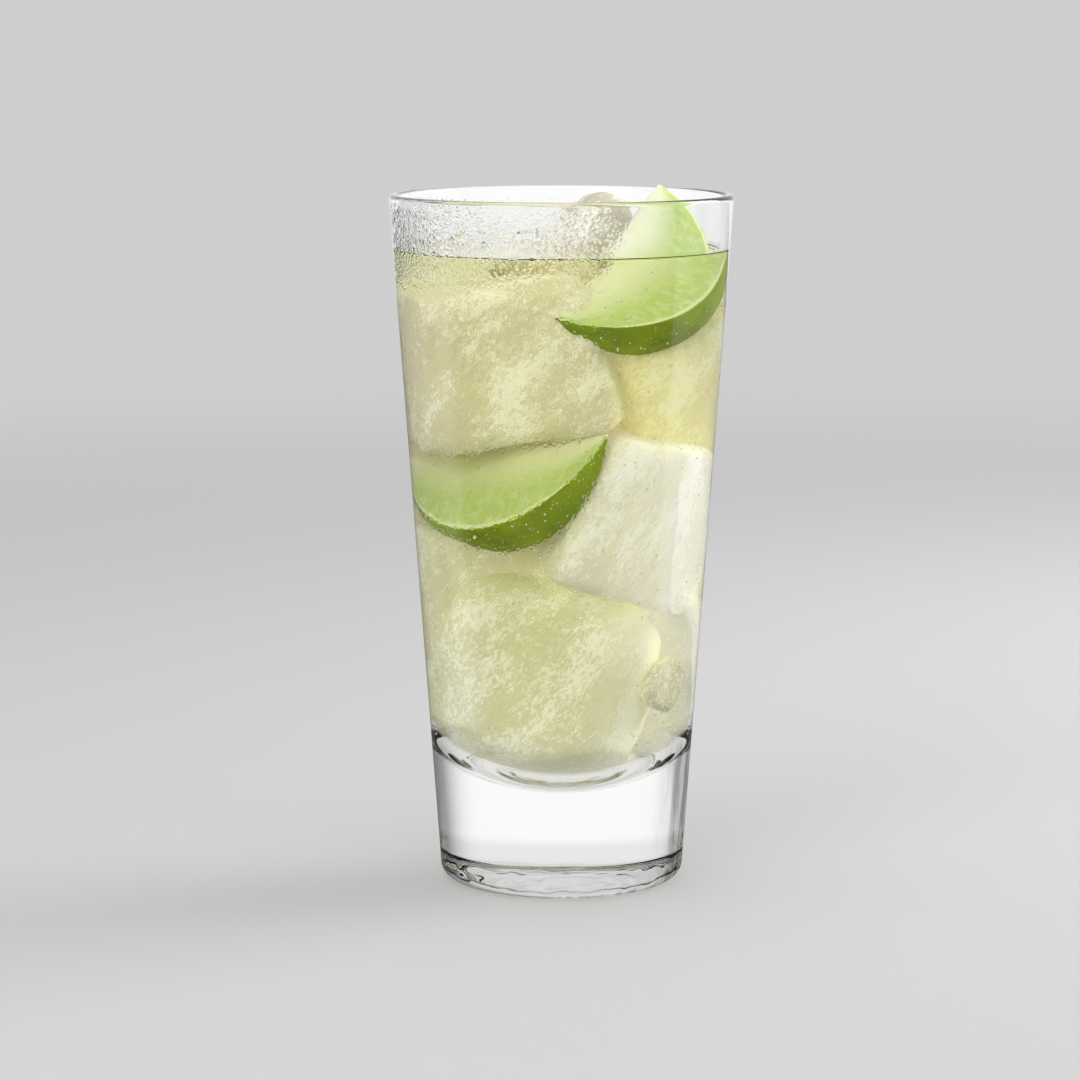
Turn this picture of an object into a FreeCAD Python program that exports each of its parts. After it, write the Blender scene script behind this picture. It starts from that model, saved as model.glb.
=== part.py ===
"""Iced long drink in a tapered, heavy-based highball glass, garnished with lime.

Millimetres, +Z up. The origin is the centre of the foot, on the surface that the glass stands on.
Each separate piece is one solid in parts/NODE.step: the glass, the drink, the lime wedge that leans
out of it, the sunk lime wedge and the ice cube that breaks the surface.
"""
import FreeCAD, Part
import os
from math import atan, atan2, cos, pi, sin, sqrt

from FreeCAD import Placement, Rotation, Vector

# Glass, outside
HEIGHT = 151.0
RIM_RADIUS = 37.5
BASE_RADIUS = 26.6           # of the straight taper, carried down to the foot
HEEL_ROUNDING = 3.2
LIP_ROUNDING = 0.9
# Glass, inside
WALL_AT_RIM = 2.0
WALL_AT_BOWL = 2.8
BASE_THICKNESS = 21.5        # on the axis, from the foot to the bowl
BOWL_RADIUS = 31.0           # the round bottom of the drinking space
BOWL_CORNER_ROUNDING = 4.0   # from the bowl into the wall
# Shallow hollow under the foot
RECESS_RADIUS = 19.0
RECESS_DEPTH = 1.0
# Drink
DRINK_LEVEL = 138.8
# The lime that both wedges are cut from, end to end
LIME_HALF_LENGTH = 24.0
LIME_RADIUS = 22.5
LIME_END_SHARPNESS = 1.2     # 1 gives an ellipse, more draws the two ends out
LIME_PROFILE_STEPS = 14
# Each wedge: how much of the lime it is, where the middle of its core lies, and the ways that its
# core and the middle of its rind point
TOP_WEDGE_ANGLE = 45.0
TOP_WEDGE_CORE = Vector(10.0, -6.0, 139.5)
TOP_WEDGE_ALONG = Vector(0.471, 0.699, 0.538)
TOP_WEDGE_RIND = Vector(0.761, -0.014, -0.649)
LOW_WEDGE_ANGLE = 32.0
LOW_WEDGE_CORE = Vector(-10.2, -6.2, 97.3)
LOW_WEDGE_ALONG = Vector(0.792, -0.585, 0.172)
LOW_WEDGE_RIND = Vector(-0.135, -0.443, -0.886)
# The ice cube that breaks the surface: melting has left its sides uneven
ICE_BOTTOM_SIDES = (26.0, 23.0)
ICE_TOP_SIDES = (24.5, 21.5)
ICE_HEIGHT = 25.0
ICE_EDGE_ROUNDING = 4.5
ICE_CENTRE = Vector(6.6, 14.6, 134.3)
ICE_YAW = 24.0
ICE_TILT = -33.0
ICE_ROLL = -5.0

AXIS = (Vector(0, 0, 0), Vector(0, 0, 1))
MEETING = 1e-6               # two ends nearer than this are one point


def at(radius, z):
    """A point of a turned profile, drawn in the XZ plane."""
    return Vector(radius, 0, z)


def facing(angle):
    """The direction in the XZ plane at an angle from +X towards +Z."""
    return Vector(cos(angle), 0, sin(angle))


def outer_radius(z):
    """Radius of the glass's straight outer taper at height z."""
    return BASE_RADIUS + (RIM_RADIUS - BASE_RADIUS) * z / HEIGHT


def inner_radius(z):
    """Radius of the straight wall of the drinking space at height z."""
    share = (z - BASE_THICKNESS) / (HEIGHT - BASE_THICKNESS)
    return outer_radius(z) - WALL_AT_BOWL - (WALL_AT_RIM - WALL_AT_BOWL) * share


def wall_side(radius_at):
    """A tapered wall as a side of a profile: a point on it, and the angle that it faces from the axis."""
    return at(radius_at(0), 0), -atan((radius_at(HEIGHT) - radius_at(0)) / HEIGHT)


def arc(centre, radius, start, end):
    """Arc in the XZ plane between two angles."""
    stations = (start, (start + end) / 2, end)
    return Part.Arc(*[centre + facing(angle) * radius for angle in stations])


def rounding(radius, first, second):
    """Arc tangent to two sides of a profile, from the first to the second. Each side is a point on
    it and the angle that it faces, away from the arc's centre."""
    one, two = facing(first[1]), facing(second[1])
    one_reach = first[0].dot(one) - radius
    two_reach = second[0].dot(two) - radius
    scale = one.x * two.z - one.z * two.x
    x = (one_reach * two.z - two_reach * one.z) / scale
    z = (two_reach * one.x - one_reach * two.x) / scale
    return arc(at(x, z), radius, first[1], second[1])


def turned(*pieces):
    """Solid turned about the glass's axis from arcs and points in order. Straight sides join those
    that don't already meet."""
    ends = [(piece, piece) if isinstance(piece, Vector) else (piece.StartPoint, piece.EndPoint) for piece in pieces]
    edges = []
    for number, piece in enumerate(pieces):
        came_from, start = ends[number - 1][1], ends[number][0]
        if not came_from.isEqual(start, MEETING):
            edges.append(Part.LineSegment(came_from, start).toShape())
        if not isinstance(piece, Vector):
            edges.append(piece.toShape())
    return Part.Face(Part.Wire(edges)).revolve(*AXIS, 360)


def bowl():
    """The bowl from its middle out to the wall: the round bottom and the corner tangent to it and
    to the wall."""
    centre = at(0, BASE_THICKNESS + BOWL_RADIUS)
    wall, wall_angle = wall_side(inner_radius)
    across, along = facing(wall_angle), facing(wall_angle + pi / 2)
    out = (wall - centre).dot(across) - BOWL_CORNER_ROUNDING
    down = sqrt((BOWL_RADIUS - BOWL_CORNER_ROUNDING) ** 2 - out ** 2)
    corner = centre + across * out - along * down
    meeting = atan2(corner.z - centre.z, corner.x - centre.x)
    return (
        arc(centre, BOWL_RADIUS, -pi / 2, meeting),
        arc(corner, BOWL_CORNER_ROUNDING, meeting, wall_angle),
    )


def glass():
    """The tumbler: heavy clear base, bowl-shaped inside, thin tapered wall and rounded lip."""
    inside, inside_angle = wall_side(inner_radius)
    outside = wall_side(outer_radius)
    top = (at(0, HEIGHT), pi / 2)
    foot = (at(0, 0), -pi / 2)
    recess_radius = (RECESS_RADIUS ** 2 + RECESS_DEPTH ** 2) / (2 * RECESS_DEPTH)
    recess_angle = pi / 2 - atan(RECESS_RADIUS / (recess_radius - RECESS_DEPTH))
    return turned(
        *bowl(),
        rounding(LIP_ROUNDING, (inside, inside_angle + pi), top),
        rounding(LIP_ROUNDING, top, outside),
        rounding(HEEL_ROUNDING, outside, foot),
        arc(at(0, RECESS_DEPTH - recess_radius), recess_radius, recess_angle, pi / 2),
    )


def drink_without_garnish():
    """The liquid as it would fill the bowl and the wall up to the level."""
    return turned(*bowl(), at(inner_radius(DRINK_LEVEL), DRINK_LEVEL), at(0, DRINK_LEVEL))


def lime_wedge(angle, core, along, rind):
    """A wedge cut lengthwise from the lime: two flat sides that meet at the core, and the rind.

    It is drawn with its core on X and the middle of its rind towards -Z, then put in place.
    """
    profile = []
    for step in range(LIME_PROFILE_STEPS + 1):
        turn = pi * step / LIME_PROFILE_STEPS
        depth = LIME_RADIUS * abs(sin(turn)) ** LIME_END_SHARPNESS
        profile.append(Vector(-LIME_HALF_LENGTH * cos(turn), 0, -depth))
    skin = Part.BSplineCurve()
    skin.interpolate(profile)
    side = Part.Face(Part.Wire([skin.toShape(), Part.LineSegment(profile[-1], profile[0]).toShape()]))
    wedge = side.revolve(Vector(0, 0, 0), Vector(1, 0, 0), angle)
    wedge.rotate(Vector(0, 0, 0), Vector(1, 0, 0), -angle / 2)
    wedge.Placement = Placement(core, Rotation(along, Vector(), rind.negative(), "XZY")) * wedge.Placement
    return wedge


def ice_cube():
    """A half-melted cube: slightly tapered, with rounded edges, tilted with one edge up."""
    levels = []
    for sides, height in ((ICE_BOTTOM_SIDES, -ICE_HEIGHT / 2), (ICE_TOP_SIDES, ICE_HEIGHT / 2)):
        x, y = sides[0] / 2, sides[1] / 2
        corners = [Vector(*corner, height) for corner in ((-x, -y), (x, -y), (x, y), (-x, y), (-x, -y))]
        levels.append(Part.makePolygon(corners))
    cube = Part.makeLoft(levels, True, True)
    cube = cube.makeFillet(ICE_EDGE_ROUNDING, cube.Edges)
    cube.Placement = Placement(ICE_CENTRE, Rotation(ICE_YAW, ICE_TILT, ICE_ROLL))
    return cube


def as_solid(shape):
    """The one solid of a shape that is expected to hold no more than one."""
    solids = shape.Solids
    if len(solids) != 1 or not solids[0].isValid():
        raise ValueError(f"expected one valid solid, got {len(solids)}")
    return solids[0]


def build():
    """Every piece by its node's name, the drink cut round what lies in it."""
    pieces = {
        "glass": glass(),
        "lime_wedge_top": lime_wedge(TOP_WEDGE_ANGLE, TOP_WEDGE_CORE, TOP_WEDGE_ALONG, TOP_WEDGE_RIND),
        "lime_wedge_sunk": lime_wedge(LOW_WEDGE_ANGLE, LOW_WEDGE_CORE, LOW_WEDGE_ALONG, LOW_WEDGE_RIND),
        "ice_cube_top": ice_cube(),
    }
    in_the_drink = [piece for name, piece in pieces.items() if name != "glass"]
    pieces["drink"] = drink_without_garnish().cut(in_the_drink)
    return {name: as_solid(piece) for name, piece in pieces.items()}


os.makedirs("parts", exist_ok=True)
for node, solid in build().items():
    solid.exportStep(f"parts/{node}.step")
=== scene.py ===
"""Looks of an iced long drink in a heavy-based highball glass, garnished with lime.

Metres, +Z up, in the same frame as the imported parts. The file is laid out as an add-on: settings,
one operator for each piece or group of like pieces, one for the stage, and a panel that lists them.
"""
import random
from math import acos, atan, atan2, cos, hypot, pi, radians, sin, sqrt

import bmesh
import bpy
from bpy.props import FloatProperty, FloatVectorProperty, IntProperty, PointerProperty
from mathutils import Euler, Matrix, Vector, noise


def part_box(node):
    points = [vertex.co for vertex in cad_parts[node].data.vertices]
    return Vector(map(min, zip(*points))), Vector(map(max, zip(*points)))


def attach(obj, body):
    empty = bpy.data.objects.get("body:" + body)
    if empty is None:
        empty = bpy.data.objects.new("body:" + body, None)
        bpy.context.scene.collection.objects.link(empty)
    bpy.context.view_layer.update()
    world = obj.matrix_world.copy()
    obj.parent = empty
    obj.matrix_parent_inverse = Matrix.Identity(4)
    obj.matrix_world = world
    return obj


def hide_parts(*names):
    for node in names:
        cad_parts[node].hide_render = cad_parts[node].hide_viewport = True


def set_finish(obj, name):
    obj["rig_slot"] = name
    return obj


bl_info = {
    "name": "Iced Highball",
    "version": (1, 0, 0),
    "blender": (4, 5, 0),
    "location": "View3D > Sidebar > Highball",
    "description": "A tapered highball glass with an iced pale drink, lime wedges and bubbles",
    "category": "Add Mesh",
}

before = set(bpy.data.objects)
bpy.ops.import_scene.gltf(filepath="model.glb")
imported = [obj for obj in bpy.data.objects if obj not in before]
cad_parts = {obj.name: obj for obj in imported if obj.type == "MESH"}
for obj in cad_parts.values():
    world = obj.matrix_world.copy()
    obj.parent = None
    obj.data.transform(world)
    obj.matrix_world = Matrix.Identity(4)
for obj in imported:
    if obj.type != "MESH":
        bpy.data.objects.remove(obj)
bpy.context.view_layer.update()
GLASS_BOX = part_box("glass")
DRINK_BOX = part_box("drink")
BODY = "root"

# Steps between points on straight parts of the section
WALL_PITCH = 0.003
FOOT_PITCH = 0.002
BUBBLE_SEED = 5
# Share of the way from core to rind beyond which a point of a wedge is on the rind
ON_RIND = 0.999

# Lime wedges: how much of the fruit each is, the middle of its core, and the ways that its core
# and the middle of its rind point
WEDGES = {
    "lime_wedge_top": (radians(45), Vector((0.0100, -0.0060, 0.1395)),
                       Vector((0.471, 0.699, 0.538)), Vector((0.761, -0.014, -0.649))),
    "lime_wedge_sunk": (radians(32), Vector((-0.0102, -0.0062, 0.0973)),
                        Vector((0.792, -0.585, 0.172)), Vector((-0.135, -0.443, -0.886))),
}
# Ice blocks under the surface: sides, centre, turns about X, Y and Z in degrees, and tone
ICE_BLOCKS = {
    "ice_upper_left": ((0.042, 0.031, 0.034), (-0.0105, -0.0030, 0.1163), (6, -9, -8), "beige"),
    "ice_upper_back": ((0.034, 0.024, 0.044), (0.0080, 0.0160, 0.1030), (8, 6, 15), "yellow"),
    "ice_behind_wedge": ((0.036, 0.022, 0.040), (-0.0100, 0.0180, 0.0850), (12, 10, 20), "beige"),
    "ice_right_middle": ((0.030, 0.031, 0.035), (0.0150, -0.0045, 0.0815), (4, 20, 10), "white"),
    "ice_right_upper": ((0.027, 0.026, 0.030), (0.0195, 0.0050, 0.1080), (10, -12, 24), "yellow"),
    "ice_centre": ((0.040, 0.026, 0.024), (-0.0010, 0.0040, 0.0700), (-8, 12, 6), "beige"),
    "ice_lower_left": ((0.045, 0.039, 0.042), (-0.0040, -0.0010, 0.0465), (-6, 15, -10), "green"),
    "ice_left_edge": ((0.018, 0.028, 0.032), (-0.0210, 0.0020, 0.0640), (4, -8, 12), "green"),
    "ice_lower_right": ((0.026, 0.028, 0.036), (0.0145, 0.0030, 0.0490), (14, -24, 20), "white"),
    "ice_lower_back": ((0.026, 0.020, 0.032), (0.0120, 0.0160, 0.0600), (15, -10, 25), "white"),
    "ice_chip": ((0.010, 0.008, 0.011), (0.0205, -0.0130, 0.0455), (25, 35, 50), "olive"),
}
# The cube that breaks the surface: sides, turns as above, and tone
SURFACE_CUBE = ((0.0255, 0.0225, 0.0245), (-5, -33, 24), "surface")
# Grains for each metre in the ice under and at the surface
SUNK_GRAIN = 1400.0
SURFACE_GRAIN = 700.0
# Colours of each tone's frosted and clearer parts
ICE_TONES = {
    "beige": ((0.97, 0.94, 0.82), (0.68, 0.63, 0.41)),
    "white": ((1.00, 0.99, 0.94), (0.78, 0.75, 0.60)),
    "yellow": ((0.98, 0.94, 0.70), (0.76, 0.70, 0.36)),
    "green": ((0.97, 0.96, 0.80), (0.70, 0.69, 0.42)),
    "olive": ((0.80, 0.78, 0.58), (0.48, 0.46, 0.28)),
    "surface": ((0.92, 0.89, 0.80), (0.45, 0.42, 0.33)),
}
# Share of the painted light, a whitening of the lamplit +X side, that a tone takes on
TONE_PAINTED_LIGHT = {"green": 0.85}
USUAL_PAINTED_LIGHT = 0.45

# Lamps: place, side of the square and power in watts
LAMPS = {
    "lamp_right": ((0.60, 0.25, 0.40), 0.40, 2.9),
    "lamp_left": ((-0.50, -0.65, 0.40), 0.50, 2.6),
    "lamp_above": ((0.0, -0.05, 1.00), 0.60, 1.6),
}
LAMP_TARGET = Vector((0, 0, 0.08))
# Share of the surroundings' light that a ray mirrored by the wall leaves behind
MIRRORED_LOSS = 0.85
# Extra light for what stands inside the glass, which gathers it from wider round
GATHERED_LIGHT = 0.42


# ---------------------------------------------------------------- settings

def length_setting(name, default, description):
    return FloatProperty(name=name, default=default, description=description, unit="LENGTH")


def number_setting(name, default, description, **limits):
    return FloatProperty(name=name, default=default, description=description, **limits)


def count_setting(name, default, description, **limits):
    return IntProperty(name=name, default=default, description=description, **limits)


def colour_setting(name, default, description):
    return FloatVectorProperty(name=name, default=default, description=description, subtype="COLOR")


class GlassSettings(bpy.types.PropertyGroup):
    """Sizes and finish of the glass."""
    height: length_setting("Height", GLASS_BOX[1].z, "Foot to rim")
    rim_radius: length_setting("Rim radius", 0.0375, "Outer radius of the taper at the rim")
    base_radius: length_setting("Base radius", 0.0266, "Outer radius of the taper at the foot")
    heel_rounding: length_setting("Heel rounding", 0.0032, "Radius between wall and foot")
    lip_rounding: length_setting("Lip rounding", 0.0009, "Radius on each side of the lip")
    wall_at_rim: length_setting("Wall at rim", 0.0020, "Wall thickness at the rim")
    wall_at_bowl: length_setting("Wall at bowl", 0.0028, "Wall thickness at the bowl")
    base_thickness: length_setting("Base thickness", 0.0215, "Foot to bowl on the axis")
    bowl_radius: length_setting("Bowl radius", 0.0310, "Radius of the drinking space's round bottom")
    bowl_corner_rounding: length_setting("Bowl corner", 0.0040, "Radius from the bowl into the wall")
    recess_radius: length_setting("Recess radius", 0.0190, "Radius of the hollow under the foot")
    recess_depth: length_setting("Recess depth", 0.0010, "Depth of the hollow under the foot")
    segments: count_setting("Segments", 192, "Steps round the glass", min=24)
    tint: colour_setting("Tint", (0.985, 0.99, 0.985), "Colour of the glass")
    # Painted shade: the grey that the base's edges, streaks and heel strip are painted with
    painted_shade_grey: colour_setting("Edge grey", (0.10, 0.10, 0.095),
                              "Colour of the base where it is seen edge on")
    base_look_top: length_setting("Base look top", 0.038, "Height where the grey ends and the mist begins")
    # Top of the painted shade strip over the heel; the heel's bump stops at the same height
    heel_strip: length_setting("Heel strip", 0.0075, "Height of the grey strip over the heel")
    drops: number_setting("Drops", 1150.0, "Drops of mist for each metre")
    clear_side: length_setting("Clear side", 0.016, "No mist beyond this X")
    mist_full: length_setting("Mist full", 0.070, "Height where the mist is full")
    thin_mist: number_setting("Thin mist", 0.24, "Strength of the mist in front of the drink")
    thin_mist_top: length_setting("Thin mist top", 0.128, "Height where the mist starts to thicken")
    thick_mist_start: length_setting("Thick mist start", 0.142, "Height where the mist is thickest")


class DrinkSettings(bpy.types.PropertyGroup):
    """Level and colour of the drink."""
    level: length_setting("Level", DRINK_BOX[1].z, "Height of the surface")
    overlap: length_setting("Overlap", 0.00035, "How far the drink reaches into the wall")
    meniscus: length_setting("Meniscus", 0.0005, "How far the surface climbs the wall")
    colour: colour_setting("Colour", (0.80, 0.80, 0.16), "What the drink lets through")
    density: number_setting("Density", 14.0, "How strongly the drink colours what is behind it")


class LimeSettings(bpy.types.PropertyGroup):
    """The lime that the wedges are cut from."""
    half_length: length_setting("Half length", 0.024, "Middle to tip")
    radius: length_setting("Radius", 0.0225, "Greatest radius")
    end_sharpness: number_setting("End sharpness", 1.2, "1 is an ellipse, more draws the tips out")
    vesicle_relief: length_setting("Cell relief", 0.00022, "Height of the juice cells")
    rind_relief: length_setting("Rind relief", 0.00025, "Height of the rind's unevenness")
    flesh: colour_setting("Flesh", (0.50, 0.63, 0.20), "Colour of the cut flesh")
    flesh_pale: colour_setting("Pale flesh", (0.64, 0.73, 0.36), "Colour of the cell walls")
    rind: colour_setting("Rind", (0.34, 0.47, 0.004), "Colour of the rind")
    rind_dark: colour_setting("Dark rind", (0.17, 0.245, 0.002), "Colour of the rind's darker patches")
    core: colour_setting("Core", (0.88, 0.90, 0.68), "Colour of the flesh next to the core")
    pith: colour_setting("Pith", (0.72, 0.80, 0.46), "Colour of the thin layer under the rind")


class IceSettings(bpy.types.PropertyGroup):
    """Melting and colour of the ice."""
    edge_rounding: length_setting("Edge rounding", 0.0040, "Radius of the melted edges")
    unevenness: length_setting("Unevenness", 0.0009, "Depth of the melted hollows")
    round_below: length_setting("Round below", 0.060, "Big blocks below this are melted rounder")
    big_from: length_setting("Big from", 0.030, "Shortest side of a big block")
    rounder: number_setting("Rounder", 2.4, "How many times rounder those are")
    taper: number_setting("Taper", 0.93, "Width of a block's top for a bottom of 1")
    wall_gap: length_setting("Wall gap", 0.0006, "Least distance to the glass")
    # Painted glow: emission that stands in for light scattered inside the ice and lifts its creases and
    # shaded sides
    painted_glow: number_setting("Painted glow", 0.35, "Painted glow in place of light passed on from inside the ice")


class BubbleSettings(bpy.types.PropertyGroup):
    """The bubbles that cling to lime, ice and glass."""
    count_on_lime: count_setting("On lime", 260, "Bubbles on each wedge", min=0)
    count_on_ice: count_setting("On ice", 300, "Bubbles on each block", min=0)
    count_on_wall: count_setting("On the wall", 3000, "Bubbles on the glass", min=0)
    lowest_on_wall: length_setting("Lowest on the wall", 0.045, "Height of the lowest bubbles there")
    clear_beyond: length_setting("Clear side", 0.012, "Few bubbles on the glass beyond this X")
    kept_there: number_setting("Kept there", 0.25,
                               "Share of the bubbles that stay on that side", min=0.0, max=1.0)
    least: length_setting("Smallest", 0.00010, "Smallest radius")
    most: length_setting("Largest", 0.00032, "Largest radius")


class StageSettings(bpy.types.PropertyGroup):
    """Floor, light and camera."""
    floor_colour: colour_setting("Floor", (0.56, 0.56, 0.56), "Colour of the floor")
    floor_size: length_setting("Floor size", 3.0, "Side of the floor")
    backdrop: colour_setting("Backdrop", (0.62, 0.62, 0.62), "Colour behind the object")
    ambient: number_setting("Ambient", 0.72, "Light from all round")
    camera_distance: length_setting("Camera distance", 0.7719, "Camera to the glass's axis")
    camera_height: length_setting("Camera height", 0.1910, "Camera above the floor")
    lens: number_setting("Lens", 118.16, "Focal length in millimetres")
    shift_across: number_setting("Shift across", -0.0199, "Sideways shift of the lens")
    shift_up: number_setting("Shift up", -0.0021, "Upward shift of the lens")


SETTINGS = {
    "highball_glass": GlassSettings,
    "highball_drink": DrinkSettings,
    "highball_lime": LimeSettings,
    "highball_ice": IceSettings,
    "highball_bubbles": BubbleSettings,
    "highball_stage": StageSettings,
}


# ---------------------------------------------------------------- outlines

def facing(angle):
    """The direction at an angle from the radius towards +Z, as (radial, height)."""
    return Vector((cos(angle), sin(angle)))


def arc(centre, radius, start, end, steps):
    """Points along an arc between two angles."""
    return [centre + radius * facing(start + (end - start) * step / steps) for step in range(steps + 1)]


def rounding(radius, first, second, steps):
    """Arc tangent to two sides of an outline. Each side is a point and the angle that it faces."""
    one, two = facing(first[1]), facing(second[1])
    one_reach = first[0].dot(one) - radius
    two_reach = second[0].dot(two) - radius
    scale = one.cross(two)
    centre = Vector((one_reach * two.y - two_reach * one.y, two_reach * one.x - one_reach * two.x)) / scale
    return arc(centre, radius, first[1], second[1], steps)


def straight(start, end, pitch, margin=0.0004):
    """Points between two ends: evenly pitched, and one close to each end to hold the shading."""
    length = (end - start).length
    steps = max(1, round(length / pitch))
    shares = [margin / length] + [step / steps for step in range(1, steps)] + [1 - margin / length]
    return [start.lerp(end, share) for share in shares]


def outer_radius(s, z):
    """Radius of the glass's outer taper at height z."""
    return s.base_radius + (s.rim_radius - s.base_radius) * z / s.height


def inner_radius(s, z):
    """Radius of the drinking space's straight wall at height z."""
    share = (z - s.base_thickness) / (s.height - s.base_thickness)
    return outer_radius(s, z) - s.wall_at_bowl - (s.wall_at_rim - s.wall_at_bowl) * share


def wall_side(s, radius_at, grow=0.0):
    """A tapered wall as a side of an outline."""
    low = radius_at(s, 0.0)
    return Vector((low + grow, 0)), -atan((radius_at(s, s.height) - low) / s.height)


def bowl_outline(s, grow=0.0):
    """The round bottom from its middle out to the wall, grown into the glass by a small depth."""
    centre = Vector((0, s.base_thickness + s.bowl_radius))
    wall, wall_angle = wall_side(s, inner_radius)
    across, along = facing(wall_angle), facing(wall_angle + pi / 2)
    out = (wall - centre).dot(across) - s.bowl_corner_rounding
    down = sqrt((s.bowl_radius - s.bowl_corner_rounding) ** 2 - out ** 2)
    corner = centre + across * out - along * down
    meeting = atan2(corner.y - centre.y, corner.x)
    return (arc(centre, s.bowl_radius + grow, -pi / 2, meeting, 30)
            + arc(corner, s.bowl_corner_rounding + grow, meeting, wall_angle, 10)[1:])


def glass_outline(s):
    """The whole section of the glass, from the bowl's middle over the lip to the middle of the foot."""
    inside, inside_angle = wall_side(s, inner_radius)
    outside = wall_side(s, outer_radius)
    top = (Vector((0, s.height)), pi / 2)
    bowl = bowl_outline(s)
    lip = rounding(s.lip_rounding, (inside, inside_angle + pi), top, 8)
    lip += rounding(s.lip_rounding, top, outside, 8)
    heel = rounding(s.heel_rounding, outside, (Vector((0, 0)), -pi / 2), 12)
    recess_radius = (s.recess_radius ** 2 + s.recess_depth ** 2) / (2 * s.recess_depth)
    recess_angle = pi / 2 - atan(s.recess_radius / (recess_radius - s.recess_depth))
    recess = arc(Vector((0, s.recess_depth - recess_radius)), recess_radius, recess_angle, pi / 2, 14)
    inner_wall = straight(bowl[-1], lip[0], WALL_PITCH)
    outer_wall = straight(lip[-1], heel[0], WALL_PITCH)
    foot = straight(heel[-1], recess[0], FOOT_PITCH)
    return bowl + inner_wall + lip + outer_wall + heel + foot + recess


def drink_outline(glass, s):
    """The section of the drink, from the bowl's middle up the wall and across the surface."""
    bowl = bowl_outline(glass, s.overlap)
    edge = Vector((inner_radius(glass, s.level) + s.overlap, s.level + s.meniscus))
    width, steepness = 2.6 * s.meniscus, 2.2
    climb = [Vector((edge.x - width * (1 - share), s.level + s.meniscus * share ** steepness))
             for share in (1.0, 0.85, 0.7, 0.55, 0.4, 0.25, 0.1, 0.0)]
    surface = [Vector((climb[-1].x * share, s.level))
               for share in (0.98, 0.9, 0.75, 0.6, 0.45, 0.3, 0.15, 0.0)]
    return bowl + straight(bowl[-1], edge, WALL_PITCH) + climb + surface


# ---------------------------------------------------------------- meshes

def finish_mesh(name, bm, *materials):
    """A smooth-shaded piece from a bmesh, riding on the body, with its materials."""
    mesh = bpy.data.meshes.new(name)
    bm.to_mesh(mesh)
    bm.free()
    mesh.shade_smooth()
    for material in materials:
        mesh.materials.append(material)
    piece = bpy.data.objects.new(name, mesh)
    bpy.context.scene.collection.objects.link(piece)
    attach(piece, BODY)
    return piece


def turned(outline, segments):
    """A closed bmesh turned about the axis from an outline that starts and ends on it."""
    bm = bmesh.new()
    points = [bm.verts.new((max(0.0, point.x), 0, point.y)) for point in outline]
    edges = [bm.edges.new(pair) for pair in zip(points, points[1:])]
    bmesh.ops.spin(bm, geom=points + edges, cent=(0, 0, 0), axis=(0, 0, 1), dvec=(0, 0, 0),
                   angle=2 * pi, steps=segments, use_merge=True, use_normal_flip=False, use_duplicate=False)
    bmesh.ops.remove_doubles(bm, verts=bm.verts, dist=1e-6)
    bmesh.ops.recalc_face_normals(bm, faces=bm.faces)
    return bm


def join(whole, part):
    """Adds a small bmesh to a large one and gives back an empty one: quick for thousands of pieces."""
    mesh = bpy.data.meshes.new("part")
    part.to_mesh(mesh)
    part.free()
    whole.from_mesh(mesh)
    bpy.data.meshes.remove(mesh)
    return bmesh.new()


def keep_inside(bm, glass, gap):
    """Presses a block in so that it stays clear of the wall and the bowl, as ice melts against them."""
    bowl = bowl_outline(glass, -gap)
    for vertex in bm.verts:
        most = inner_radius(glass, vertex.co.z) - gap
        reach = hypot(vertex.co.x, vertex.co.y)
        if reach > most:
            vertex.co.x *= most / reach
            vertex.co.y *= most / reach
            reach = most
        low, high = next((pair for pair in zip(bowl, bowl[1:]) if pair[1].x >= reach), (bowl[-1], bowl[-1]))
        share = (reach - low.x) / max(high.x - low.x, 1e-9)
        vertex.co.z = max(vertex.co.z, low.y + (high.y - low.y) * max(0.0, min(1.0, share)))


def ice_block(s, glass, sides, centre, turns, seed):
    """A half-melted block: a tapered cube with rounded edges and an uneven, pitted skin."""
    bm = bmesh.new()
    bmesh.ops.create_cube(bm, size=1.0)
    bmesh.ops.scale(bm, verts=[v for v in bm.verts if v.co.z > 0], vec=(s.taper, s.taper, 1.0))
    bmesh.ops.scale(bm, verts=bm.verts, vec=sides)
    is_round = centre[2] < s.round_below and min(sides) > s.big_from
    offset = min(s.edge_rounding * (s.rounder if is_round else 1.0), min(sides) * 0.3)
    bmesh.ops.bevel(bm, geom=bm.edges[:], offset=offset, offset_type="OFFSET", segments=6, profile=0.5,
                    affect="EDGES", material=-1)
    long_edges = [edge for edge in bm.edges if edge.calc_length() > offset * 0.5]
    bmesh.ops.subdivide_edges(bm, edges=long_edges, cuts=22, use_grid_fill=True)
    bmesh.ops.smooth_vert(bm, verts=bm.verts, factor=0.5, use_axis_x=True, use_axis_y=True, use_axis_z=True)
    bm.normal_update()
    moves = []
    for vertex in bm.verts:
        place = vertex.co + Vector((seed * 0.37, seed * 0.19, seed * 0.53))
        broad = noise.noise(place * 70) * s.unevenness * 1.6
        mid = noise.noise(place * 260) * s.unevenness * 0.45
        fine = noise.noise(place * 900) * s.unevenness * 0.16
        moves.append(vertex.normal * (broad + mid + fine))
    for vertex, move in zip(bm.verts, moves):
        vertex.co += move
    place = Matrix.Translation(centre) @ Euler([radians(turn) for turn in turns]).to_matrix().to_4x4()
    bmesh.ops.transform(bm, matrix=place, verts=bm.verts)
    keep_inside(bm, glass, s.wall_gap)
    bmesh.ops.recalc_face_normals(bm, faces=bm.faces)
    return bm


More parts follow.
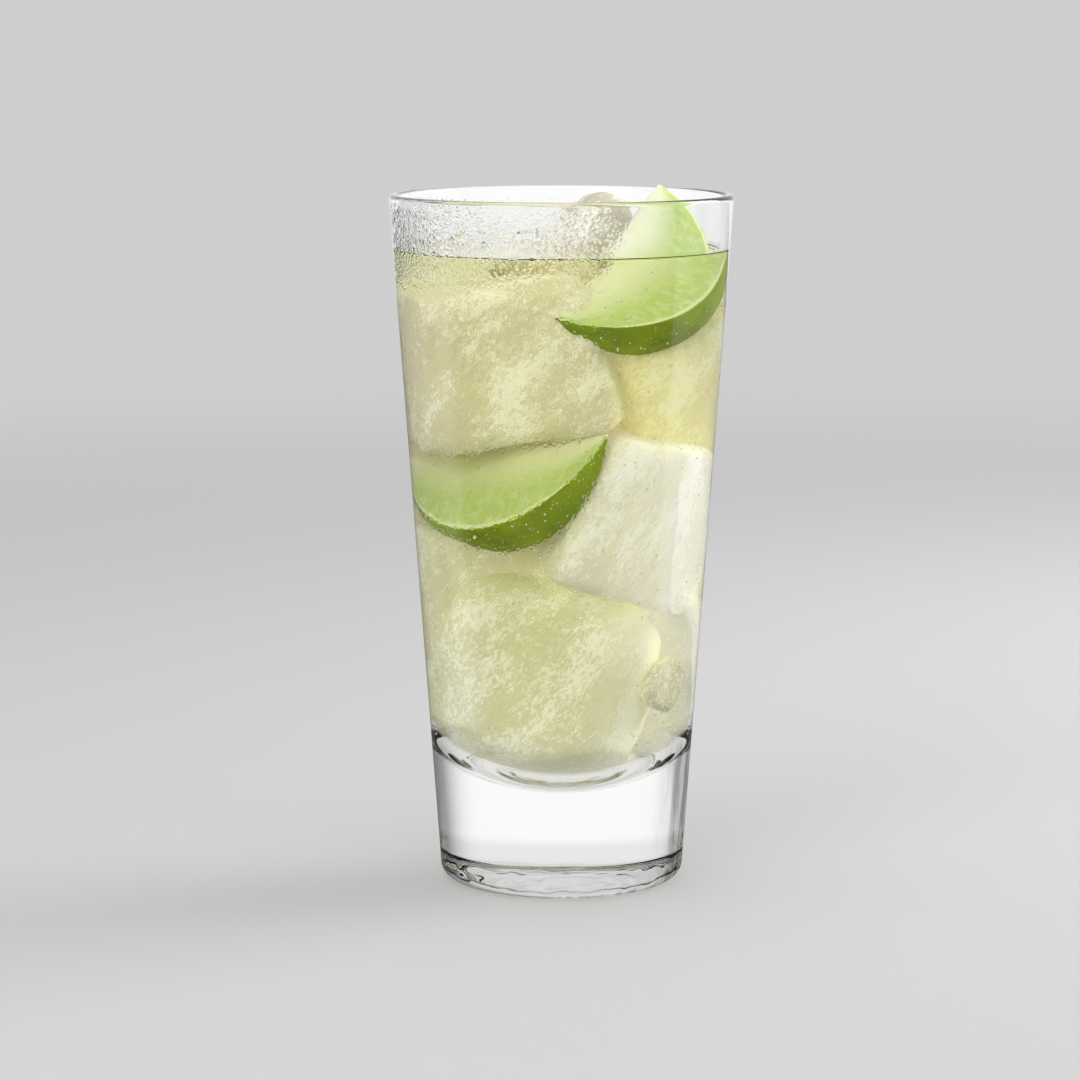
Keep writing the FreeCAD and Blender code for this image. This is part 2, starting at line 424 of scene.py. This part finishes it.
def wedge_shape(s, angle, seed):
    """A wedge of lime with its core on X and the middle of its rind towards -Z, with a UV map that
    runs along the core and out from core to rind."""
    bm = bmesh.new()
    bmesh.ops.create_grid(bm, x_segments=72, y_segments=36, size=0.5)
    for vertex in bm.verts:
        along, out = (vertex.co.x + 0.5) * pi, vertex.co.y + 0.5
        depth = s.radius * abs(sin(along)) ** s.end_sharpness
        vertex.co = Vector((-s.half_length * cos(along), 0, -depth * out))
    bmesh.ops.rotate(bm, verts=bm.verts, cent=(0, 0, 0), matrix=Matrix.Rotation(-angle / 2, 3, "X"))
    bmesh.ops.spin(bm, geom=bm.verts[:] + bm.edges[:] + bm.faces[:], cent=(0, 0, 0), axis=(1, 0, 0),
                   dvec=(0, 0, 0), angle=angle, steps=26, use_merge=False, use_normal_flip=False,
                   use_duplicate=False)
    bmesh.ops.remove_doubles(bm, verts=bm.verts, dist=2e-6)
    bmesh.ops.recalc_face_normals(bm, faces=bm.faces)
    bm.normal_update()
    out_share = {}
    for vertex in bm.verts:
        along = acos(max(-1.0, min(1.0, -vertex.co.x / s.half_length)))
        whole = s.radius * abs(sin(along)) ** s.end_sharpness
        out_share[vertex] = min(1.0, hypot(vertex.co.y, vertex.co.z) / max(whole, 1e-6))
    uv = bm.loops.layers.uv.new("wedge")
    for face in bm.faces:
        shares = [out_share[vertex] for vertex in face.verts]
        face.material_index = 1 if min(shares) > ON_RIND else 0
        for loop in face.loops:
            along = 0.5 + loop.vert.co.x / (2 * s.half_length)
            loop[uv].uv = (along, out_share[loop.vert])
    shift = Vector((seed * 0.31, seed * 0.17, 0))
    for vertex in bm.verts:
        share = out_share[vertex]
        spot = vertex.co + shift
        if share > ON_RIND:
            move = noise.noise(spot * 160) * s.rind_relief
        else:
            fade = min(1.0, (1 - share) / 0.12) * min(1.0, share / 0.1 + 0.2)
            cells = noise.noise(Vector((spot.x * 900, spot.y * 420, spot.z * 420)))
            swell = noise.noise(spot * 150)
            move = fade * (cells * s.vesicle_relief + swell * s.vesicle_relief * 1.4)
        vertex.co += vertex.normal * move
    return bm


# ---------------------------------------------------------------- material tools

class Tree:
    """Adds nodes to a material, world or group, filling or linking their inputs by name."""

    def __init__(self, tree):
        self.tree = tree

    def fill(self, socket, value):
        if isinstance(value, bpy.types.NodeSocket):
            self.tree.links.new(value, socket)
        elif hasattr(value, "__len__") and len(value) == 3 and socket.type == "RGBA":
            socket.default_value = (*value, 1.0)
        else:
            socket.default_value = value

    def add(self, kind, inputs=None, **choices):
        node = self.tree.nodes.new("ShaderNode" + kind)
        for name, value in choices.items():
            setattr(node, name, value)
        for name, value in (inputs or {}).items():
            self.fill(node.inputs[name], value)
        return node

    def group(self, made, inputs):
        node = self.tree.nodes.new("ShaderNodeGroup")
        node.node_tree = made
        for name, value in inputs.items():
            self.fill(node.inputs[name], value)
        return node

    def math(self, operation, first, second=0.0, clamp=False):
        return self.add("Math", {0: first, 1: second}, operation=operation, use_clamp=clamp).outputs[0]

    def ramp(self, value, low, high, to_low=0.0, to_high=1.0):
        """Smooth step of a value between two limits."""
        inputs = {"Value": value, "From Min": low, "From Max": high, "To Min": to_low, "To Max": to_high}
        return self.add("MapRange", inputs, interpolation_type="SMOOTHSTEP").outputs[0]

    def mix(self, share, first, second):
        """Colour mix by a share."""
        node = self.add("Mix", data_type="RGBA")
        self.fill(node.inputs[0], share)
        self.fill(node.inputs[6], first)
        self.fill(node.inputs[7], second)
        return node.outputs[2]

    def noise(self, place, scale, detail=3.0, roughness=0.55, distortion=0.0):
        inputs = {"Vector": place, "Scale": scale, "Detail": detail, "Roughness": roughness,
                  "Distortion": distortion}
        return self.add("TexNoise", inputs).outputs["Fac"]

    def place(self):
        return self.add("TexCoord").outputs["Object"]

    def bump(self, height, strength, distance):
        inputs = {"Height": height, "Strength": strength, "Distance": distance}
        return self.add("Bump", inputs).outputs["Normal"]


def new_group(name, inputs, outputs):
    """An empty shader group with named sockets: (name, kind, default) in, (name, kind) out."""
    made = bpy.data.node_groups.new(name, "ShaderNodeTree")
    for title, kind, default in inputs:
        socket = made.interface.new_socket(name=title, in_out="INPUT", socket_type="NodeSocket" + kind)
        if default is not None:
            socket.default_value = default
    for title, kind in outputs:
        made.interface.new_socket(name=title, in_out="OUTPUT", socket_type="NodeSocket" + kind)
    source = made.nodes.new("NodeGroupInput")
    result = made.nodes.new("NodeGroupOutput")
    return made, Tree(made), source.outputs, result.inputs


def speckle_group():
    """Frost in the ice: fine grains over broad clouds, as a mask and a height."""
    made, tree, given, result = new_group(
        "speckle",
        [("Vector", "Vector", None), ("Grain", "Float", SUNK_GRAIN), ("Cloud", "Float", 110.0),
         ("Blur", "Float", 0.11)],
        [("Mask", "Float"), ("Height", "Float")])
    fine = tree.noise(given["Vector"], given["Grain"], 3.0, 0.7, 0.6)
    cloud = tree.noise(given["Vector"], given["Cloud"], 2.0, 0.6)
    cells = tree.add("TexVoronoi", {"Vector": given["Vector"], "Scale": given["Grain"]})
    dots = tree.ramp(cells.outputs["Distance"], 0.45, 0.1)
    joined = tree.math("ADD", tree.math("MULTIPLY", fine, 0.75), tree.math("MULTIPLY", cloud, 0.65))
    joined = tree.math("ADD", joined, tree.math("MULTIPLY", dots, 0.12))
    middle = 0.74
    low = tree.math("SUBTRACT", middle, given["Blur"])
    high = tree.math("ADD", middle, given["Blur"])
    tree.fill(result["Mask"], tree.ramp(joined, low, high))
    tree.fill(result["Height"], tree.math("ADD", fine, tree.math("MULTIPLY", dots, 0.4)))
    return made


def surroundings_group():
    """What stands round the glass, as its colour is seen through clear pieces: white in front of
    and behind it, greyer bars to the sides, and grey above. Angles are in degrees from straight
    behind, folded so that front and back are alike."""
    made, tree, given, result = new_group(
        "surroundings", [("Direction", "Vector", None), ("Near", "Float", 1.0)], [("Value", "Float")])
    parts = tree.add("SeparateXYZ", {"Vector": given["Direction"]}).outputs
    azimuth = tree.math("ARCTAN2", parts["X"], parts["Y"])
    turn = tree.math("MULTIPLY", tree.math("ABSOLUTE", azimuth), 180 / pi)
    folded = tree.math("SUBTRACT", 90.0, tree.math("ABSOLUTE", tree.math("SUBTRACT", 90.0, turn)))
    is_left = tree.math("LESS_THAN", azimuth, 0.0)
    begin = tree.math("SUBTRACT", 44.0, tree.math("MULTIPLY", is_left, 7.0))
    width = tree.math("SUBTRACT", 26.0, tree.math("MULTIPLY", is_left, 20.0))
    rise = tree.ramp(folded, begin, tree.math("ADD", begin, width))
    fall = tree.ramp(folded, 84.0, 74.0)
    across = tree.add("CombineXYZ", {"X": azimuth}).outputs[0]
    streak = tree.ramp(tree.noise(across, 9.0, 2.0, 0.6), 0.36, 0.62, 0.55, 1.0)
    streak = tree.math("MAXIMUM", streak, tree.math("SUBTRACT", 1.0, is_left))
    bars = tree.math("MULTIPLY", tree.math("MULTIPLY", rise, fall), tree.math("MULTIPLY", streak, 0.34))
    bars = tree.math("MULTIPLY", bars, given["Near"])
    height = tree.ramp(parts["Z"], 0.15, 0.85, 0.0, 0.34)
    low_grey = tree.ramp(parts["Z"], 0.06, 0.22, 0.0, 0.14)
    dark = tree.math("MAXIMUM", bars, tree.math("MAXIMUM", height, low_grey))
    tree.fill(result["Value"], tree.math("SUBTRACT", 1.0, dark, clamp=True))
    return made


def group_named(name, maker):
    """A shared group, built the first time that it is asked for."""
    return bpy.data.node_groups.get(name) or maker()


def new_material(name, surface=None):
    """A material with one Principled shader on its output: (material, tree, shader, output)."""
    material = bpy.data.materials.new(name)
    material.use_nodes = True
    material.node_tree.nodes.clear()
    tree = Tree(material.node_tree)
    shader = tree.add("BsdfPrincipled", surface or {})
    output = tree.add("OutputMaterial", {"Surface": shader.outputs[0]})
    return material, tree, shader, output


def let_shadows_through(tree, shader, output, colour):
    """Lets lamplight straight through a clear piece, tinted, in place of slow focused light."""
    clear = tree.add("BsdfTransparent", {"Color": colour})
    path = tree.add("LightPath")
    mix = tree.add("MixShader", {0: path.outputs["Is Shadow Ray"]})
    tree.fill(mix.inputs[1], shader.outputs[0])
    tree.fill(mix.inputs[2], clear.outputs[0])
    tree.fill(output.inputs["Surface"], mix.outputs[0])


# ---------------------------------------------------------------- materials

def outer_side(tree, s, parts):
    """1 on the outer side of the glass and 0 on its inner side."""
    radius = tree.math("SQRT", tree.math("ADD", tree.math("MULTIPLY", parts["X"], parts["X"]),
                                         tree.math("MULTIPLY", parts["Y"], parts["Y"])))
    slope = (s.rim_radius - s.base_radius) / s.height
    untapered = tree.math("SUBTRACT", radius, tree.math("MULTIPLY", parts["Z"], slope))
    return tree.math("GREATER_THAN", untapered, s.base_radius - s.wall_at_bowl / 2)


def mist_height(tree, s, place, parts):
    """Relief of the mist: fine drops with ragged limits, thinner where the drink is behind them."""
    ragged = tree.math("MULTIPLY", tree.math("SUBTRACT", tree.noise(place, 60.0, 1.0), 0.5), 0.022)
    clear_side = tree.ramp(tree.math("ADD", parts["X"], ragged), s.clear_side, s.clear_side - 0.012)
    above_base = tree.ramp(tree.math("ADD", parts["Z"], ragged), s.base_look_top, s.mist_full)
    below_rim = tree.ramp(parts["Z"], s.height - 0.001, s.height - 0.004)
    misted = tree.math("MULTIPLY", tree.math("MULTIPLY", clear_side, above_base), below_rim)
    drops = tree.add("TexVoronoi", {"Vector": place, "Scale": s.drops}).outputs["Distance"]
    smear = tree.noise(place, 500.0, 1.0, 0.4)
    height = tree.math("ADD", tree.ramp(drops, 0.55, 0.0), tree.math("MULTIPLY", smear, 1.2))
    thick = tree.ramp(parts["Z"], s.thin_mist_top, s.thick_mist_start, s.thin_mist, 1.0)
    return tree.math("MULTIPLY", height, tree.math("MULTIPLY", misted, thick))


def painted_base_shade(tree, s, parts):
    """Painted shade of the base: grey where it is seen edge on, streaked on the +X side, and a strip over
    the heel.
    """
    edge_on = tree.add("LayerWeight", {"Blend": 0.5}).outputs["Facing"]
    azimuth = tree.math("ARCTAN2", parts["X"], parts["Y"])
    climb = tree.math("MULTIPLY", parts["Z"], 6.0)
    round_way = tree.add("CombineXYZ", {"X": azimuth, "Z": climb}).outputs[0]
    streak = tree.ramp(tree.noise(round_way, 9.0, 2.0, 0.6), 0.40, 0.58, 0.50, 1.0)
    streak = tree.math("MAXIMUM", streak, tree.ramp(parts["X"], 0.004, -0.004))
    in_base = tree.ramp(parts["Z"], s.base_look_top, s.base_look_top - 0.010)
    edges = tree.math("MULTIPLY", tree.ramp(edge_on, 0.28, 0.68, 0.0, 0.95),
                      tree.math("MULTIPLY", streak, in_base))
    strip = tree.ramp(parts["Z"], s.heel_strip, s.heel_strip - 0.0030, 0.0, 0.32)
    return tree.math("MAXIMUM", edges, strip)


def glass_material(s):
    """Clear soda glass, misted with fine drops round most of the wall, with painted grey shade on the edges
    and over the heel of its base.
    """
    material, tree, shader, output = new_material("misted_glass", {
        "Base Color": tuple(s.tint), "Roughness": 0.0, "IOR": 1.5, "Transmission Weight": 1.0})
    place = tree.place()
    parts = tree.add("SeparateXYZ", {"Vector": place}).outputs
    outside = outer_side(tree, s, parts)
    mist = tree.math("MULTIPLY", mist_height(tree, s, place, parts), outside)
    over_heel = tree.ramp(parts["Z"], s.heel_strip, s.heel_strip - 0.0045, 0.0, 3.0)
    heel = tree.math("MULTIPLY", tree.noise(place, 190.0, 1.0), over_heel)
    tree.fill(shader.inputs["Normal"], tree.bump(tree.math("ADD", mist, heel), 0.5, 0.00040))
    # Painted shade mixed into the glass's colour
    shade = tree.math("MULTIPLY", painted_base_shade(tree, s, parts), outside)
    tree.fill(shader.inputs["Base Color"], tree.mix(shade, tuple(s.tint), tuple(s.painted_shade_grey)))
    let_shadows_through(tree, shader, output, (1.0, 1.0, 1.0))
    return material


def drink_material(s):
    """Pale yellow drink, coloured by its depth, with a gently stirred surface."""
    material, tree, shader, output = new_material("pale_drink", {
        "Base Color": (1.0, 1.0, 0.97), "Roughness": 0.0, "IOR": 1.33, "Transmission Weight": 1.0})
    place = tree.place()
    ripple = tree.noise(place, 55.0, 2.0, 0.5)
    tree.fill(shader.inputs["Normal"], tree.bump(ripple, 0.12, 0.0012))
    let_shadows_through(tree, shader, output, (0.995, 0.99, 0.96))
    depth = tree.add("VolumeAbsorption", {"Color": tuple(s.colour), "Density": s.density})
    tree.fill(output.inputs["Volume"], depth.outputs[0])
    return material


def ice_material(s, name, tone, grain, seed):
    """Cloudy ice: frosted grains over clearer hollows, with a painted glow and painted light that whitens
    the +X side, where the right lamp falls.
    """
    cloudy, clear = ICE_TONES[tone]
    material, tree, shader, _ = new_material(name, {
        "Roughness": 0.35, "IOR": 1.12, "Emission Strength": s.painted_glow})
    whole = tree.place()
    place = tree.add("Mapping", {"Vector": whole, "Location": (seed * 0.07, seed * 0.03, 0.0),
                                 "Rotation": (0.0, radians(38), 0.0), "Scale": (1.0, 1.0, 2.4)},
                     vector_type="TEXTURE").outputs[0]
    frost = tree.group(group_named("speckle", speckle_group), {"Vector": place, "Grain": grain}).outputs
    broad = tree.ramp(tree.noise(place, 42.0, 2.0, 0.5), 0.30, 0.70, -0.25, 0.25)
    mask = tree.math("ADD", frost["Mask"], broad, clamp=True)
    # Painted light: the colour whitens towards +X, the side where the right lamp falls
    across = tree.add("SeparateXYZ", {"Vector": whole}).outputs["X"]
    painted_light_share = tree.ramp(across, 0.000, 0.018, 0.0, TONE_PAINTED_LIGHT.get(tone, USUAL_PAINTED_LIGHT))
    painted_light_mask = tree.math("MULTIPLY", painted_light_share, tree.math("ADD", mask, 0.65))
    mask = tree.math("MAXIMUM", mask, painted_light_mask, clamp=True)
    colour = tree.mix(mask, clear, cloudy)
    tree.fill(shader.inputs["Base Color"], colour)
    # Painted glow, stronger towards +X where the right lamp falls
    painted_glow = tree.ramp(across, 0.002, 0.016, 0.45, 0.75)
    tree.fill(shader.inputs["Emission Color"], tree.mix(painted_glow, (0.0, 0.0, 0.0), colour))
    tree.fill(shader.inputs["Normal"], tree.bump(frost["Height"], 0.55, 0.0005))
    return material


def flesh_material(s):
    """Cut lime: juice cells that run out from the core, paler towards it and between them, and pith."""
    material, tree, shader, _ = new_material("lime_flesh", {
        "Roughness": 0.25, "IOR": 1.08, "Subsurface Weight": 0.5, "Subsurface Radius": (0.8, 1.0, 0.35),
        "Subsurface Scale": 0.004})
    uv = tree.add("UVMap", uv_map="wedge").outputs[0]
    parts = tree.add("SeparateXYZ", {"Vector": uv}).outputs
    stretched = tree.add("Mapping", {"Vector": uv, "Scale": (30.0, 7.0, 1.0)}).outputs[0]
    cells = tree.noise(stretched, 1.0, 4.0, 0.6, 0.4)
    pale = tree.ramp(cells, 0.42, 0.72)
    colour = tree.mix(pale, tuple(s.flesh), tuple(s.flesh_pale))
    uneven = tree.math("ADD", parts["Y"], tree.math("MULTIPLY", cells, 0.30))
    to_core = tree.ramp(uneven, 0.82, 0.25, 0.0, 0.85)
    colour = tree.mix(to_core, colour, tuple(s.core))
    to_pith = tree.ramp(tree.math("ADD", parts["Y"], tree.math("MULTIPLY", cells, 0.02)), 0.935, 0.965)
    colour = tree.mix(to_pith, colour, tuple(s.pith))
    to_rind = tree.ramp(parts["Y"], 0.982, 0.995)
    tree.fill(shader.inputs["Base Color"], tree.mix(to_rind, colour, tuple(s.rind)))
    fine = tree.noise(stretched, 3.0, 3.0, 0.6)
    tree.fill(shader.inputs["Normal"], tree.bump(fine, 0.35, 0.0004))
    return material


def rind_material(s):
    """Glossy lime rind: green with darker patches and fine oil pores."""
    material, tree, shader, _ = new_material("lime_rind", {"Roughness": 0.35, "IOR": 1.08})
    place = tree.place()
    patches = tree.ramp(tree.noise(place, 75.0, 3.0, 0.55), 0.36, 0.66)
    colour = tree.mix(patches, tuple(s.rind_dark), tuple(s.rind))
    pores = tree.add("TexVoronoi", {"Vector": place, "Scale": 950.0, "Randomness": 0.9}).outputs["Distance"]
    dimple = tree.ramp(pores, 0.05, 0.5)
    lighter = tree.mix(0.45, colour, (0.32, 0.44, 0.012))
    tree.fill(shader.inputs["Base Color"], tree.mix(tree.math("MULTIPLY", dimple, 0.35), lighter, colour))
    tree.fill(shader.inputs["Normal"], tree.bump(dimple, 0.4, 0.0003))
    return material


def bubble_material():
    """Tiny gas bubbles, pale with a bright skin."""
    material, tree, shader, _ = new_material("gas_bubbles", {"Roughness": 0.12, "IOR": 1.33})
    shade = tree.noise(tree.place(), 400.0, 2.0)
    tree.fill(shader.inputs["Base Color"], tree.mix(shade, (0.80, 0.84, 0.62), (0.95, 0.96, 0.86)))
    return material


# ---------------------------------------------------------------- operators

class HIGHBALL_OT_glass(bpy.types.Operator):
    """Make the tapered glass with its heavy base"""
    bl_idname = "highball.glass"
    bl_label = "Glass"

    def execute(self, context):
        s = context.scene.highball_glass
        piece = finish_mesh("highball_glass", turned(glass_outline(s), s.segments), glass_material(s))
        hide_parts("glass")
        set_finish(piece, "glass")
        return {"FINISHED"}


class HIGHBALL_OT_drink(bpy.types.Operator):
    """Fill the glass with the drink"""
    bl_idname = "highball.drink"
    bl_label = "Drink"

    def execute(self, context):
        glass, s = context.scene.highball_glass, context.scene.highball_drink
        piece = finish_mesh("drink_body", turned(drink_outline(glass, s), glass.segments), drink_material(s))
        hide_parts("drink")
        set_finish(piece, "drink")
        return {"FINISHED"}


class HIGHBALL_OT_lime(bpy.types.Operator):
    """Make the lime wedges"""
    bl_idname = "highball.lime"
    bl_label = "Lime wedges"

    def execute(self, context):
        s = context.scene.highball_lime
        flesh, rind = flesh_material(s), rind_material(s)
        for number, (node, (angle, core, along, rind_way)) in enumerate(WEDGES.items(), 1):
            bm = wedge_shape(s, angle, number)
            x = along.normalized()
            y = x.cross(rind_way).normalized()
            z = x.cross(y)
            place = Matrix.Translation(core) @ Matrix((x, y, z)).transposed().to_4x4()
            bmesh.ops.transform(bm, matrix=place, verts=bm.verts)
            piece = finish_mesh(node + "_cut", bm, flesh, rind)
            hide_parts(node)
            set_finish(piece, "lime")
        return {"FINISHED"}


class HIGHBALL_OT_ice(bpy.types.Operator):
    """Make the ice: the cube that breaks the surface and the sunk blocks"""
    bl_idname = "highball.ice"
    bl_label = "Ice"

    def execute(self, context):
        s, glass = context.scene.highball_ice, context.scene.highball_glass
        for number, (name, (sides, centre, turns, tone)) in enumerate(ICE_BLOCKS.items()):
            material = ice_material(s, name, tone, SUNK_GRAIN, number)
            piece = finish_mesh(name, ice_block(s, glass, sides, centre, turns, number + 1), material)
            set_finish(piece, "ice")
        sides, turns, tone = SURFACE_CUBE
        low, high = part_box("ice_cube_top")
        material = ice_material(s, "ice_top", tone, SURFACE_GRAIN, seed=20)
        bm = ice_block(s, glass, sides, (low + high) / 2, turns, seed=12)
        piece = finish_mesh("ice_cube_at_surface", bm, material)
        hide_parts("ice_cube_top")
        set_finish(piece, "ice")
        return {"FINISHED"}


def bubble_radius(s, chance, share=1.0):
    """A radius drawn so that small bubbles are more common than large ones."""
    return s.least + (s.most - s.least) * share * chance.random() ** 2.5


def spots_on_pieces(s, chance):
    """Places and radii of the bubbles that cling to lime and ice."""
    spots = []
    for piece in [o for o in bpy.data.objects if o.type == "MESH" and o.get("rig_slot") in ("lime", "ice")]:
        count = s.count_on_lime if piece["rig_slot"] == "lime" else s.count_on_ice
        faces = piece.data.polygons
        for _ in range(count):
            face = faces[chance.randrange(len(faces))]
            radius = bubble_radius(s, chance)
            spots.append((face.center + face.normal * radius * 0.7, radius))
    return spots


def spots_on_wall(s, glass, level, chance):
    """Places and radii of the bubbles that cling to the glass, fewer on its clear side."""
    spots = []
    for _ in range(s.count_on_wall):
        azimuth, height = chance.uniform(0, 2 * pi), chance.uniform(s.lowest_on_wall, level)
        radius = bubble_radius(s, chance, 0.6)
        reach = inner_radius(glass, height) - radius * 1.2
        spot = Vector((reach * sin(azimuth), reach * cos(azimuth), height))
        luck = chance.random()
        if spot.x < s.clear_beyond or luck < s.kept_there:
            spots.append((spot, radius))
    return spots


class HIGHBALL_OT_bubbles(bpy.types.Operator):
    """Scatter the bubbles that cling to lime, ice and glass"""
    bl_idname = "highball.bubbles"
    bl_label = "Bubbles"

    def execute(self, context):
        s, level = context.scene.highball_bubbles, context.scene.highball_drink.level
        chance = random.Random(BUBBLE_SEED)
        spots = spots_on_pieces(s, chance)
        spots += spots_on_wall(s, context.scene.highball_glass, level, chance)
        whole, part = bmesh.new(), bmesh.new()
        for number, (spot, radius) in enumerate(spots):
            if spot.z < level - 0.001:
                place = Matrix.Translation(spot)
                bmesh.ops.create_icosphere(part, subdivisions=1, radius=radius, matrix=place)
            if number % 100 == 99:
                part = join(whole, part)
        join(whole, part).free()
        piece = finish_mesh("clinging_bubbles", whole, bubble_material())
        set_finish(piece, "drink")
        return {"FINISHED"}


class HIGHBALL_OT_stage(bpy.types.Operator):
    """Set the floor, the light and the camera"""
    bl_idname = "highball.stage"
    bl_label = "Stage"

    def execute(self, context):
        s = context.scene.highball_stage
        make_floor(s)
        make_world(s)
        make_lamps()
        make_camera(s, context.scene.highball_glass.height)
        context.scene.view_settings.view_transform = "Standard"
        return {"FINISHED"}


def kept_light(tree, path, in_front):
    """How much of the surroundings a mirrored ray brings: little off the outer wall, and little from
    the front after a turn inside the wall, where a filled glass hardly mirrors at all."""
    odd = tree.math("MODULO", path["Ray Depth"], 2.0)
    outer = tree.math("LESS_THAN", path["Ray Depth"], 1.5)
    dimmed = tree.math("MULTIPLY", odd, tree.math("MAXIMUM", outer, in_front))
    return tree.math("SUBTRACT", 1.0, tree.math("MULTIPLY", dimmed, MIRRORED_LOSS))


def clear_view(tree, path):
    """1 for a ray that has met only clear or glossy surfaces, 0 once it has met a matt one."""
    clear = tree.math("MAXIMUM", path["Is Transmission Ray"], path["Is Glossy Ray"])
    return tree.math("MULTIPLY", clear, tree.math("LESS_THAN", path["Diffuse Depth"], 0.5))


def surroundings_seen(tree, path, direction, front, near=1.0):
    """The surroundings' value as the glass shows it. Front is the Y where what lies before the glass
    begins, and where it is reached in full."""
    value = tree.group(group_named("surroundings", surroundings_group),
                       {"Direction": direction, "Near": near}).outputs[0]
    ahead = tree.add("SeparateXYZ", {"Vector": direction}).outputs["Y"]
    return tree.math("MULTIPLY", value, kept_light(tree, path, tree.ramp(ahead, *front)))


def make_floor(s):
    """A large pale floor that keeps the shadow; seen through clear pieces it shows the surroundings, with a
    painted shadow under the glass.
    """
    bm = bmesh.new()
    bmesh.ops.create_grid(bm, x_segments=1, y_segments=1, size=s.floor_size / 2)
    mesh = bpy.data.meshes.new("stage_floor")
    bm.to_mesh(mesh)
    bm.free()
    floor = bpy.data.objects.new("stage_floor", mesh)
    bpy.context.scene.collection.objects.link(floor)
    material = bpy.data.materials.new("pale_floor")
    material.use_nodes = True
    material.node_tree.nodes.clear()
    tree = Tree(material.node_tree)
    place = tree.place()
    distance = tree.add("VectorMath", {0: place}, operation="LENGTH").outputs["Value"]
    matt = tree.add("BsdfDiffuse", {"Color": tuple(s.floor_colour)})
    plain = tree.add("Emission", {"Color": tuple(s.backdrop)})
    path = tree.add("LightPath").outputs
    fade = tree.math("MULTIPLY", tree.ramp(distance, 0.35, 1.1), path["Is Camera Ray"])
    shown = tree.add("MixShader", {0: fade})
    tree.fill(shown.inputs[1], matt.outputs[0])
    tree.fill(shown.inputs[2], plain.outputs[0])
    near = tree.ramp(distance, 0.030, 0.044)
    # Painted shadow: darker under the glass where the floor is seen through clear pieces
    under = tree.ramp(distance, 0.024, 0.034, 0.82, 1.0)
    value = surroundings_seen(tree, path, place, (-0.015, -0.050), near)
    seen = tree.add("Emission", {"Color": tree.math("MULTIPLY", value, under)})
    mix = tree.add("MixShader", {0: clear_view(tree, path)})
    tree.fill(mix.inputs[1], shown.outputs[0])
    tree.fill(mix.inputs[2], seen.outputs[0])
    tree.add("OutputMaterial", {"Surface": mix.outputs[0]})
    mesh.materials.append(material)


def make_world(s):
    """Plain backdrop for the camera, soft light for matt surfaces and the surroundings for glass."""
    world = bpy.data.worlds.new("studio")
    bpy.context.scene.world = world
    world.use_nodes = True
    world.node_tree.nodes.clear()
    tree = Tree(world.node_tree)
    direction = tree.add("TexCoord").outputs["Generated"]
    path = tree.add("LightPath").outputs
    inside = tree.math("ADD", 1.0, tree.math("MULTIPLY", path["Is Transmission Ray"], GATHERED_LIGHT))
    ambient = tree.math("MULTIPLY", inside, s.ambient)
    value = surroundings_seen(tree, path, direction, (-0.1, -0.4))
    light = tree.mix(clear_view(tree, path), ambient, value)
    shown = tree.mix(path["Is Camera Ray"], light, tuple(s.backdrop))
    background = tree.add("Background", {"Color": shown, "Strength": 1.0})
    tree.add("OutputWorld", {"Surface": background.outputs[0]})


def make_lamps():
    """Soft lamps: a bright one behind on the right, a fill from the front left and a wide one above."""
    for name, (place, size, power) in LAMPS.items():
        lamp = bpy.data.lights.new(name, "AREA")
        lamp.size = size
        lamp.energy = power
        holder = bpy.data.objects.new(name, lamp)
        bpy.context.scene.collection.objects.link(holder)
        holder.location = place
        holder.rotation_euler = (LAMP_TARGET - Vector(place)).to_track_quat("-Z", "Y").to_euler()
        holder.visible_transmission = False
        holder.visible_camera = False


def make_camera(s, height):
    """The camera, above the glass's rim and looking a little down at its middle."""
    data = bpy.data.cameras.new("camera")
    data.lens = s.lens
    data.sensor_width = 36.0
    data.shift_x = s.shift_across
    data.shift_y = s.shift_up
    camera = bpy.data.objects.new("camera", data)
    bpy.context.scene.collection.objects.link(camera)
    camera.location = (0, -s.camera_distance, s.camera_height)
    way = Vector((0, 0, height / 2)) - camera.location
    camera.rotation_euler = way.to_track_quat("-Z", "Y").to_euler()
    bpy.context.scene.camera = camera


class HIGHBALL_PT_panel(bpy.types.Panel):
    """Lists the drink's pieces and their settings"""
    bl_idname = "HIGHBALL_PT_panel"
    bl_label = "Iced Highball"
    bl_space_type = "VIEW_3D"
    bl_region_type = "UI"
    bl_category = "Highball"

    def draw(self, context):
        for operator, setting in STEPS.items():
            column = self.layout.box().column()
            column.operator(operator)
            group = getattr(context.scene, setting)
            for name in group.bl_rna.properties.keys():
                if name not in ("rna_type", "name"):
                    column.prop(group, name)


STEPS = {
    "highball.stage": "highball_stage",
    "highball.glass": "highball_glass",
    "highball.drink": "highball_drink",
    "highball.lime": "highball_lime",
    "highball.ice": "highball_ice",
    "highball.bubbles": "highball_bubbles",
}
CLASSES = (
    *SETTINGS.values(), HIGHBALL_OT_stage, HIGHBALL_OT_glass, HIGHBALL_OT_drink, HIGHBALL_OT_lime,
    HIGHBALL_OT_ice, HIGHBALL_OT_bubbles, HIGHBALL_PT_panel,
)


def register():
    for one in CLASSES:
        bpy.utils.register_class(one)
    for name, group in SETTINGS.items():
        setattr(bpy.types.Scene, name, PointerProperty(type=group))


def unregister():
    for name in SETTINGS:
        delattr(bpy.types.Scene, name)
    for one in reversed(CLASSES):
        bpy.utils.unregister_class(one)


def main():
    register()
    for operator in STEPS:
        group, name = operator.split(".")
        getattr(getattr(bpy.ops, group), name)()


if __name__ == "__main__":
    main()
